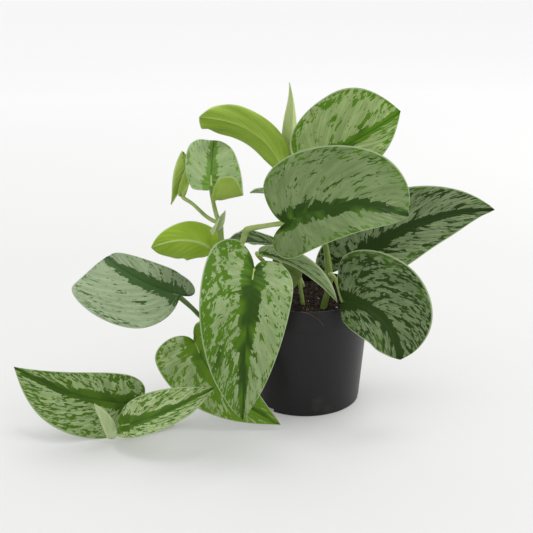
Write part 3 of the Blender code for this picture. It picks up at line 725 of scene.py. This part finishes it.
def satin_leaf(name, leaf, silver=0.0, band=5.0, margin=0.10, ticks=0.5, bright=0.35,
               lean=(0.0, 0.0), size=1.0, stretch=1.3, deep="#37531b", fresh="#547a20",
               sheen="#9aae7c", shade="#869c66", rim="#a9bb8e"):
    """Upper skin: silver cells full of air over green ones, sharp edged along the veins.

    silver raises or lowers the silver cover, band is the midrib band's half width in mm,
    margin greens the edge, ticks adds small dark marks, bright is the share of fresh green,
    lean tips the cover towards a side or the tip, and size and stretch are the patches'
    size and their length along the veins. Five numbers of a Map Range are the value, the
    range that it is in and the range that it goes to.
    """
    made, tree, shader = finish_of(name)
    grid, signed, out, along, across, _ = vein_coordinates(tree)
    seed = leaf["seed"]
    # The silver patches: large ones that break into smaller ones towards the margin.
    blotch = streaky(tree, grid, 8.0 * stretch * size, 7.0 * size, seed, 4.0, 0.55, 0.5)
    cells = streaky(tree, grid, 3.0 * stretch, 2.6, seed + 9, 2.0, 0.5, 0.4)
    broken = node(tree, "MapRange", (out, 0.45, 0.95, 0.0, 0.7))
    finer = node(tree, "Math", (cells, blotch), operation="SUBTRACT")
    patches = node(tree, "Math", (broken, finer, blotch), operation="MULTIPLY_ADD")
    ragged = streaky(tree, grid, 2.6 * stretch, 2.0, seed + 2, 3.0, 0.6)
    lowered = node(tree, "Math", (patches, 0.5 * RAGGED), operation="SUBTRACT")
    cover = node(tree, "Math", (ragged, RAGGED, lowered), operation="MULTIPLY_ADD")
    # The green band on the midrib, which narrows towards the tip, and the greener margin.
    narrow = node(tree, "MapRange", (along, 0.0, 1.0, 1.0 / band, 1.0 / (0.30 * band)))
    rib = node(tree, "Math", (across, narrow), operation="MULTIPLY")
    ribbed = node(tree, "MapRange", (rib, 0.2, 1.9, 0.42, -0.04))
    edged = node(tree, "MapRange", (out, 0.62, 1.0, 0.0, margin),
                 interpolation_type="SMOOTHSTEP")
    tipped = node(tree, "Math", (along, lean[1]), operation="MULTIPLY")
    tipped = node(tree, "Math", (signed, lean[0], tipped), operation="MULTIPLY_ADD")
    banded = node(tree, "Math", (cover, ribbed), operation="ADD")
    shifted = node(tree, "Math", (edged, tipped), operation="ADD")
    total = node(tree, "Math", (banded, shifted), operation="ADD")
    level = EVEN_COVER + silver
    green = node(tree, "MapRange", (total, level - PATCH_EDGE, level + PATCH_EDGE))
    # Small dark ticks in the silver, which are thicker near the margin.
    specks = streaky(tree, grid, 4.0 * stretch, 2.2, seed + 5, 2.0, 0.5, 0.4)
    ticked = node(tree, "Math", (edged, 0.4, specks), operation="MULTIPLY_ADD")
    ticked = node(tree, "MapRange", (ticked, 0.70 - 0.08 * ticks, 0.72 - 0.08 * ticks))
    ticked = node(tree, "Math", (ticked, min(1.0, 2 * ticks)), operation="MULTIPLY")
    green = node(tree, "Math", (green, ticked), operation="MAXIMUM")
    # The greens: fresher in soft clouds and towards the margin.
    hue = streaky(tree, grid, 22.0, 20.0, seed + 7, 2.0, 0.5)
    hue = node(tree, "Math", (out, 0.22, hue), operation="MULTIPLY_ADD")
    fresher = node(tree, "MapRange", (hue, 0.82 - bright, 1.02 - bright))
    greens = node(tree, "Mix", {0: fresher, 6: colour(deep), 7: colour(fresh)},
                  data_type="RGBA")
    # The silvers: fine streaks, and thinner places where the green shows through.
    fine = streaky(tree, grid, 14.0, 0.9, seed + 11, 2.0, 0.5)
    silvers = node(tree, "Mix", {0: node(tree, "MapRange", (fine, 0.3, 0.7)),
                                 6: colour(shade), 7: colour(sheen)}, data_type="RGBA")
    thin = node(tree, "MapRange", (
        streaky(tree, grid, 14.0 * stretch, 9.0, seed + 19, 3.0, 0.55), 0.40, 0.66, 0.0, 0.55))
    through = node(tree, "Mix", {0: 0.65, 6: colour(deep), 7: colour(shade)},
                   data_type="RGBA")
    silvers = node(tree, "Mix", {0: thin, 6: silvers, 7: through}, data_type="RGBA")
    body = node(tree, "Mix", {0: green, 6: silvers, 7: greens}, data_type="RGBA")
    # The midrib is a fine dark furrow that turns yellow green where the petiole joins, and
    # the margin has a fine pale edge.
    line = node(tree, "MapRange", (across, 0.35, 0.9, 0.55, 0.0))
    joint = node(tree, "Math", (node(tree, "MapRange", (across, 0.5, 2.0, 0.45, 0.0)),
                                node(tree, "MapRange", (along, 0.10, 0.14, 1.0, 0.0))),
                 operation="MULTIPLY")
    width = float(np.mean(leaf["width"]))
    edge = node(tree, "MapRange", (out, 1.0 - 1.1 / width, 1.0 - 0.5 / width, 0.0, 0.85))
    for share, tint in ((line, "#2d4a18"), (joint, "#8fae3e"), (edge, rim)):
        body = node(tree, "Mix", {0: share, 6: body, 7: colour(tint)}, data_type="RGBA")
    # Velvety skin: a grain of half a millimetre, and shallow side veins.
    where = node(tree, "TexCoord").outputs["Object"]
    grain = node(tree, "TexNoise", {"Vector": where, "Scale": 1800, "Detail": 1.0})
    skin = node(tree, "Math", (fine, 0.9, grain), operation="MULTIPLY_ADD")
    feed(tree, shader, {
        "Base Color": body,
        "Roughness": node(tree, "MapRange", (green, 0.0, 1.0, 0.41, 0.47)),
        "Normal": node(tree, "Bump", {"Height": skin, "Strength": 0.35, "Distance": 0.00012}),
        "IOR": PLANT_IOR, "Specular IOR Level": 0.20})
    return made


def leaf_back(name, leaf, pale="#93a679", deep="#788d58", line="#b3c192", veins=0.35):
    """Underside: paler and duller than the top, with fine parallel veins and a raised midrib."""
    made, tree, shader = finish_of(name)
    grid, _, out, _, across, swept = vein_coordinates(tree)
    clouds = streaky(tree, grid, 18.0, 14.0, leaf["seed"] + 13, 3.0, 0.5)
    body = node(tree, "Mix", {0: node(tree, "MapRange", (clouds, 0.3, 0.7)),
                              6: colour(deep), 7: colour(pale)}, data_type="RGBA")
    ridge = node(tree, "Math", (swept, 10 / VEIN_SPACING), operation="MULTIPLY")
    ridge = node(tree, "Math", (ridge, 0.5), operation="PINGPONG")
    veined = node(tree, "MapRange", (ridge, 0.40, 0.50, 0.0, veins),
                  interpolation_type="SMOOTHSTEP")
    middle = node(tree, "MapRange", (across, 0.5, 1.3, 0.8, 0.0))
    width = float(np.mean(leaf["width"]))
    edge = node(tree, "MapRange", (out, 1.0 - 1.0 / width, 1.0 - 0.4 / width, 0.0, 0.6))
    for share, tint in ((veined, deep), (middle, line), (edge, line)):
        body = node(tree, "Mix", {0: share, 6: body, 7: colour(tint)}, data_type="RGBA")
    fine = streaky(tree, grid, 14.0, 0.9, leaf["seed"] + 17, 2.0, 0.5)
    feed(tree, shader, {
        "Base Color": body, "Roughness": 0.5, "IOR": PLANT_IOR, "Specular IOR Level": 0.25,
        "Normal": node(tree, "Bump", {"Height": fine, "Strength": 0.3, "Distance": 0.0001})})
    return made


petiole_finish = shoot_finish("smooth green petiole", "#a3b66c", "#869b4d", "#a8bf60", 0.25)
JOIN_REACH, BURIED = 12.0, 60.0              # a petiole this near a stem grows out of it


def grow_petiole(name, leaf, rows, finish):
    """The petiole: from the stem or the compost, through its rows, into the blade's base."""
    place, along, up, _, _ = midrib_frames(leaf, np.zeros(1))
    place, along, up = place[0], along[0], up[0]
    radius = rows[-1][3]
    first = np.array(rows[0][:3], float)
    route = list(rows)
    if first[2] > SOIL_TOP or first[2] < BURIED:
        near = []
        for stem in STEMS.values():
            for a, b in zip(stem, stem[1:]):
                a, b = np.array(a[:3], float), np.array(b[:3], float)
                s = np.clip(np.dot(first - a, b - a) / np.dot(b - a, b - a), 0, 1)
                near.append(a + (b - a) * s)
        best = min(near, key=lambda place: np.linalg.norm(place - first))
        if np.linalg.norm(best - first) < JOIN_REACH:
            route = [(*best, rows[0][3] * 1.15)] + route
    route.append((*(place - up * (radius + 0.4) - along * 1.2), radius * 1.12))
    route.append((*(place - up * (radius * 0.85 + 0.3) + along * 2.5), radius * 0.85))
    route.append((*(place - up * (radius * 0.30 + 0.5) + along * 9.0), radius * 0.30))
    piece = grow_shoot("petiole_" + name + "_stalk", route, finish, uneven=0.15)
    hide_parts("petiole_" + name)


def grow_leaf(name, leaf, top, under, petiole=None, stalk=petiole_finish):
    """A blade, and its petiole where it has one."""
    piece = grow_blade("blade_" + name, leaf, top, under)
    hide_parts("leaf_" + name)
    if petiole:
        grow_petiole(name, leaf, petiole, stalk)


leaf = dict(
    base=(-39, -75, 131), mid=(-45, -103, 89), tip=(-49, -95, 24), face=(0.1, -1, 0.2),
    width=(37, 29), lobe=(20, 11), widest=(0.16, 0.14), full=(0.30, 0.34), fold=4,
    cup=(22, 12), seed=4)
grow_leaf("front", leaf,
          satin_leaf("satin leaf, patched silver", leaf, silver=-0.02, band=9.5, margin=0.07,
                     ticks=0.2, bright=0.40, lean=(0.05, 0.0), stretch=0.8, deep="#2d4a0a",
                     fresh="#4d7412"),
          leaf_back("pale leaf back, front", leaf),
          [(-54, -34, 117, 1.8), (-48, -48, 125, 1.8), (-42, -62, 129, 1.8)])


# ---- Centre leaf: a broad blade held across the middle of the plant, mostly silver, with a
# green band that feathers out along the side veins. Its bent petiole comes from the left stem.
leaf = dict(
    base=(-16, -45, 157), mid=(29, -57, 172), tip=(76, -32, 158), face=(0, -1, 0.35),
    sinus=0.12, width=(27, 44.5), lobe=(17, 8), widest=(0.02, 0.30), full=(0.45, 0.60), fold=4,
    cup=(10, 25), seed=9)
grow_leaf("centre", leaf,
          satin_leaf("satin leaf, mostly silver", leaf, silver=0.045, band=10.0, margin=0.12,
                     ticks=0.3, bright=0.30, stretch=1.15, deep="#2a460c", sheen="#899d6b",
                     shade="#6f8653"),
          leaf_back("pale leaf back, centre", leaf),
          [(-56, -34, 127, 2.1), (-48, -37, 141, 2.2), (-45.5, -38, 149, 2.4),
           (-42, -39, 151.5, 2.2), (-27, -41, 154.5, 1.8)])


# ---- Top leaf: the highest full blade, on the end of the upright stem, tilted back a little.
# Silver with a dark tapered band and fresh green blotches along its upper margin.
leaf = dict(
    base=(8, -5, 196), mid=(42, -20, 216), tip=(69, -22, 234), face=(-0.1, -1, 0.5),
    width=(26, 39), lobe=(12, 18), widest=(0.40, 0.44), full=(0.30, 0.70), fold=4,
    cup=(10, 20), seed=15)
grow_leaf("top", leaf,
          satin_leaf("satin leaf, fresh green margin", leaf, silver=0.02, band=8.5, margin=0.12,
                     ticks=0.3, bright=0.50, stretch=1.0, deep="#35560e", fresh="#588414",
                     sheen="#b2c787", shade="#8ca462"),
          leaf_back("pale leaf back, top", leaf),
          [(2, 0, 179, 1.8), (5, -2, 187, 1.8)])


# ---- Right leaf: a long blade that reaches out behind to the right, with a drawn-out tip.
# It is darker, with silver streaks along the veins and a broad dark band.
leaf = dict(
    base=(41, 15, 109), mid=(94, 18, 140), tip=(152, 10, 152), face=(0, -1, 0.5),
    width=(29, 34), lobe=(12, 28), widest=(0.26, 0.30), full=(0.30, 0.40), fold=8,
    cup=(14, 20), seed=22)
grow_leaf("right", leaf,
          satin_leaf("satin leaf, dark and streaked", leaf, silver=-0.01, band=9.0,
                     margin=0.06, ticks=0.7, bright=0.12, stretch=1.35, deep="#2a4012",
                     sheen="#93a47a", shade="#72855c"),
          leaf_back("pale leaf back, right", leaf),
          [(31, 20, 74, 1.9), (31, 20, 84, 1.9), (30, 20, 95, 1.9), (35, 19, 104, 1.8)])


# ---- Lower right leaf: the darkest blade, which folds down over the right of the rim.
# Deep green with narrow silver patches between the veins.
leaf = dict(
    base=(27, -45, 96), mid=(53, -65, 89), tip=(66, -76, 61), face=(0.15, -0.95, 0.3),
    width=(21, 43), lobe=(2, 6), widest=(0.50, 0.31), full=(0.55, 0.58), fold=6,
    sinus=0.3, cup=(14, 20), seed=31)
grow_leaf("lower_right", leaf,
          satin_leaf("satin leaf, deep green", leaf, silver=-0.045, band=7.5, margin=0.04,
                     ticks=0.3, bright=0.08, size=0.85, stretch=0.95, deep="#263e0c",
                     sheen="#7d9066", shade="#61744b"),
          leaf_back("pale leaf back, lower right", leaf),
          [(20, -25, 110, 1.9), (24, -30, 105, 1.8)])


# ---- Top left leaf: a young leaf that shows its back. It arches up and to the left, lime green
# made bright with painted light from behind, with fine darker veins and no silver yet.
leaf = dict(
    base=(-14, 5, 178), mid=(-36, 15, 213), tip=(-80, 0, 229), face=(-0.2, 1, 0.3),
    width=(15, 15), lobe=(-10, -6), widest=(0.66, 0.50), full=(0.75, 0.60), fold=10,
    cup=(30, 30), seed=41)
lime_top = satin_leaf("young leaf, pale green", leaf, silver=0.05, band=3.0, margin=0.1,
                      ticks=0.3, bright=0.7, deep="#5d7f2a", fresh="#7f9f3a", sheen="#a3b880",
                      shade="#93ab68")
grow_leaf("top_left", leaf, lime_top,
          # Its back: lime, brightened with painted light from behind.
          leaf_back("young leaf back, lime, painted backlight", leaf, "#9dbb4c", "#88a636", "#b0c866", 0.30),
          [(-1, 7, 170, 1.7), (-8, 7, 171, 1.7), (-13, 5, 174, 1.6)])


# ---- New leaf: the youngest, still rolled in a spear at the end of the upright stem.
# Pale yellow green and a little translucent.
leaf = dict(
    base=(-6, 23, 194), mid=(-6, 23, 223), tip=(-11, 23, 252), face=(-0.8, -0.5, 0),
    width=(13, 13), lobe=(1, 1), widest=(0.18, 0.18), full=(0.15, 0.15), fold=20,
    cup=(80, 80), seed=47, ripple=0.3)
spear_finish = leaf_back("rolled new leaf", leaf, "#c6d599", "#b4c67a", "#d2dda9", 0.2)
grow_leaf("new_spear", leaf, spear_finish, spear_finish)


# ---- Cupped leaf: a young blade seen from the front, whose right lobe rolls forward and down
# and shows its lime back. Its petiole rises from the joint at the top of the left stem.
leaf = dict(
    base=(-71, -22, 181), mid=(-71, -4, 198), tip=(-70, 16, 209), face=(0, -0.8, 0.6),
    blunt=1.6, width=(25, 20), lobe=(46, 8), widest=(-0.25, 0.40), full=(0.75, 0.90), fold=4,
    cup=(15, 15), curl=(120, 60), seed=53, ripple=0.4)
grow_leaf("cupped", leaf,
          satin_leaf("satin leaf, young and pale", leaf, silver=0.05, band=8.0, margin=0.12,
                     ticks=0.3, bright=0.45, size=0.7, stretch=1.0, deep="#4c6a2c",
                     fresh="#62892c", sheen="#9fb380", shade="#8ca56c"),
          leaf_back("young leaf back, cupped", leaf, "#9db552", "#86a13a", "#b5c68a", 0.25),
          [(-67, -27, 158, 1.8), (-70, -23, 170, 1.6)])


# ---- Leaf behind the cupped one: it droops with its lime back to the front, painted brighter
# to lift the shade it hangs in, and its end is rolled up. Its petiole leaves the same joint.
leaf = dict(
    base=(-95, -4, 170), mid=(-82, 8, 195), tip=(-105, 4, 161), face=(-0.7, 0.5, 0.5),
    width=(8, 16), lobe=(3, 3), widest=(0.40, 0.40), full=(0.60, 0.30), fold=15,
    cup=(50, 60), seed=59, ripple=0.4)
grow_leaf("cupped_back", leaf, lime_top,
          # Its back: lime, painted brighter to lift the shade it hangs in.
          leaf_back("young leaf back, drooping, painted light", leaf, "#b3cb66", "#9ab74a", "#c9d99a", 0.25),
          [(-69, -25, 154, 1.6), (-76, -20, 157, 1.5), (-86, -14, 165, 1.4)])


# ---- Left lime leaf: a young leaf held level on the left, seen from its back, lime made bright
# with painted light from behind, and a pale raised midrib.
leaf = dict(
    base=(-71, -18, 130), mid=(-91, -26, 140), tip=(-118, -25, 134), face=(-0.1, 1, 0.1),
    sinus=0.3, width=(22, 15), lobe=(3, 3), widest=(0.30, 0.30), full=(0.80, 0.40), fold=8,
    cup=(30, 30), seed=61, ripple=0.5)
grow_leaf("left_lime", leaf, lime_top,
          # Its back: lime, brightened with painted light from behind.
          leaf_back("young leaf back, level, painted backlight", leaf, "#a0bf42", "#90b22c", "#c8da8c", 0.15),
          [(-67, -25, 136, 1.5), (-70, -24, 134, 1.5)])


# ---- Left silver leaf: a full blade that reaches out to the left from the rim, nearly all
# silver, with a ragged dark band and thin dark vein marks near its margin.
leaf = dict(
    base=(-95, -45, 102), mid=(-123, -62, 121), tip=(-151, -32, 129), face=(-0.1, -1, 0.8),
    width=(17, 41), lobe=(20, -12), widest=(0.18, 0.56), full=(0.60, 0.76), fold=4,
    cup=(20, 20), seed=67)
grow_leaf("left_silver", leaf,
          satin_leaf("satin leaf, grey silver", leaf, silver=0.065, band=12.0, margin=0.09,
                     ticks=0.5, bright=0.10, stretch=1.0, deep="#3c5a2a", fresh="#4b6830",
                     sheen="#9fb08c", shade="#8b9c77", rim="#a9b796"),
          leaf_back("pale leaf back, left silver", leaf),
          [(-76, -27, 73, 1.9), (-82, -33, 81, 1.8), (-88, -40, 91, 1.8)],
          stalk=shoot_finish("shaded green petiole", "#5f7634", "#48601f", "#6f8840", 0.25))


# ---- Ground leaf, left: the far end of the trailing stem carries it just over the table.
# Dark and fresh green with silver patches, and a drawn-out pale tip.
leaf = dict(
    base=(-134, -56, 18.7), mid=(-179, -61, 31), tip=(-224, -50, 48), face=(0, -0.86, 0.5),
    width=(22, 30), lobe=(9, 6), widest=(0.10, 0.36), full=(0.20, 0.30), fold=2,
    cup=(16, 12), seed=71)
grow_leaf("ground_left", leaf,
          satin_leaf("satin leaf, green with silver", leaf, silver=-0.04, band=8.0,
                     margin=0.05, ticks=0.2, bright=0.42, size=0.8, stretch=0.75,
                     deep="#35520c", fresh="#4a6c14", sheen="#abc188", shade="#809660"),
          leaf_back("pale leaf back, ground left", leaf),
          [(-109, -57, 6, 1.6), (-116, -53, 11, 1.6), (-125, -52, 17, 1.6)])


# ---- Ground leaf, front: a young narrow blade from the end of the trailing stem.
# Pale silver lime with a mid green band, and yellow green at its base.
leaf = dict(
    base=(-139, -82, 14), mid=(-105, -94, 31), tip=(-68, -84, 45), face=(0, -0.7, 0.7),
    width=(15, 17), lobe=(4, 4), widest=(0.40, 0.35), full=(0.30, 0.30), fold=8,
    cup=(16, 16), seed=77)
grow_leaf("ground_front", leaf,
          satin_leaf("satin leaf, young lime silver", leaf, silver=-0.035, band=7.5, margin=0.03,
                     ticks=0.3, bright=0.3, size=0.65, stretch=0.7, deep="#466a1c",
                     fresh="#5c8020", sheen="#c2d49c", shade="#9ab076"),
          leaf_back("pale leaf back, ground front", leaf, "#a3b67c", "#8ca35e"),
          [(-139.5, -75.5, 9.5, 1.4)])


# ---- Low leaf: it hangs below the rim on the left, behind the front leaf, and its tip rests
# near the table by the pot. Its silvers are painted brighter, to lift the shade it hangs in.
leaf = dict(
    base=(-86, -40, 62), mid=(-62, -56, 30), tip=(-21, -65, 4), face=(-0.3, -1, 0.4),
    width=(34, 24), lobe=(10, 14), widest=(0.05, 0.25), full=(0.15, 0.30), fold=6,
    cup=(20, 15), seed=83)
grow_leaf("low", leaf,
          satin_leaf("satin leaf, half silver", leaf, silver=0.035, band=11.0, margin=0.06,
                     ticks=0.3, bright=0.48, lean=(0.0, 0.16), stretch=1.1, deep="#3c5c14",
                     # Painted light: these silvers are brighter to lift the shade under the rim.
                     fresh="#648a20", sheen="#bacd95", shade="#93aa70"),
          leaf_back("pale leaf back, low", leaf),
          [(-80, -30, 63, 1.7), (-85, -34, 66, 1.6)])


# ---- Inner leaves: four smaller blades in the middle of the plant, mostly hidden. A narrow one
# lies over the compost, one hangs under it with its back to the front, olive and darkened with
# painted shade, one is level on the left, and one shows only its tip at the back.
leaf = dict(
    base=(-34, -34, 131), mid=(-2, -47, 121), tip=(21, -62, 101), face=(-0.2, -0.6, 0.8),
    width=(3, 10), lobe=(3, 4), widest=(0.35, 0.35), full=(0.40, 0.40), fold=12,
    cup=(10, 10), seed=89, ripple=0.5)
grow_leaf("inner", leaf,
          satin_leaf("satin leaf, folded", leaf, silver=0.06, band=2.0, margin=0.04, ticks=0.8,
                     bright=0.15, sheen="#8b9c74"),
          # An olive back, its own colour darkened with painted shade.
          leaf_back("olive leaf back", leaf, "#76864e", "#5e6f38"),
          [(-22, 0, 74, 1.8), (-22, 0, 84, 1.8), (-26, -10, 108, 1.7), (-37, -28, 128, 1.6)])
leaf = dict(
    base=(-21, -22, 124), mid=(-16, -24, 112), tip=(-11, -26, 99), face=(0, 1, 0.2),
    width=(16, 9), lobe=(2, 2), widest=(0.35, 0.40), full=(0.50, 0.40), fold=8,
    cup=(20, 20), seed=91, ripple=0.5)
grow_leaf("inner_low", leaf, lime_top,
          # An olive back, its own colour darkened with painted shade.
          leaf_back("olive leaf back, low", leaf, "#6d8038", "#52662a", "#8c9e58", 0.15),
          [(-2, -14, 74, 1.6), (-2, -14, 84, 1.6), (-6, -13, 108, 1.5), (-12, -15, 124, 1.4),
           (-17, -20, 130, 1.4), (-20.5, -24.5, 130, 1.3)])
leaf = dict(
    base=(-24, -12, 131), mid=(-41, -18, 136), tip=(-61, -22, 137), face=(0, -0.2, 1),
    width=(18, 9), lobe=(6, 6), widest=(0.40, 0.40), full=(0.30, 0.30), fold=4,
    cup=(10, 10), seed=97)
shaded = satin_leaf("satin leaf, in shade", leaf, silver=-0.04, band=4.0, ticks=0.5, bright=0.1,
                    deep="#2c4119", sheen="#7c9260", shade="#687e4c")
shaded_back = leaf_back("pale leaf back, in shade", leaf)
grow_leaf("mid_left", leaf, shaded, shaded_back,
          [(-12, 12, 74, 1.7), (-12, 12, 84, 1.7), (-14, 4, 108, 1.6), (-19, -12, 125, 1.5)])
leaf = dict(
    base=(-2, 40, 153), mid=(-23, 42, 160), tip=(-43, 32, 164), face=(0, 0.1, 1),
    width=(18, 18), lobe=(6, 6), widest=(0.40, 0.40), full=(0.30, 0.30), fold=6,
    cup=(20, 20), seed=101, ripple=0.1)
grow_leaf("back", leaf, shaded, shaded_back,
          [(1, 32, 74, 1.7), (0, 32, 84, 1.7), (-3, 34, 94, 1.7), (-6, 38, 125, 1.6),
           (-3, 40, 146, 1.5)])


# ---- Sheaths: the papery scales that wrapped young leaves and stay at the joints, one on the
# left stem and one where the trailing stem ends.
for name, sheath in (
        ("sheath_left", dict(
            base=(-71, -33, 148), mid=(-66, -35, 156), tip=(-60, -34, 164),
            face=(0.6, -0.3, 0.4), width=(5, 5), lobe=(1.5, 1.5), widest=(0.40, 0.40),
            full=(0.30, 0.30), fold=35, cup=(40, 40), seed=3, ripple=0.2, quilt=0.3)),
        ("sheath_ground", dict(
            base=(-150, -80, 3), mid=(-152, -84, 16), tip=(-157, -84, 33), face=(-0.4, -0.9, 0),
            width=(9, 4), lobe=(2, 2), widest=(0.35, 0.35), full=(0.40, 0.40), fold=-8,
            cup=(-40, -30), seed=6, ripple=0.2, quilt=0.3))):
    finish = leaf_back("papery green " + name.replace("_", " "), sheath, "#b9c898", "#9db273",
                       "#c8d4aa", 0.3)
    piece = grow_blade(name + "_scale", sheath, finish, finish)
    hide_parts(name)
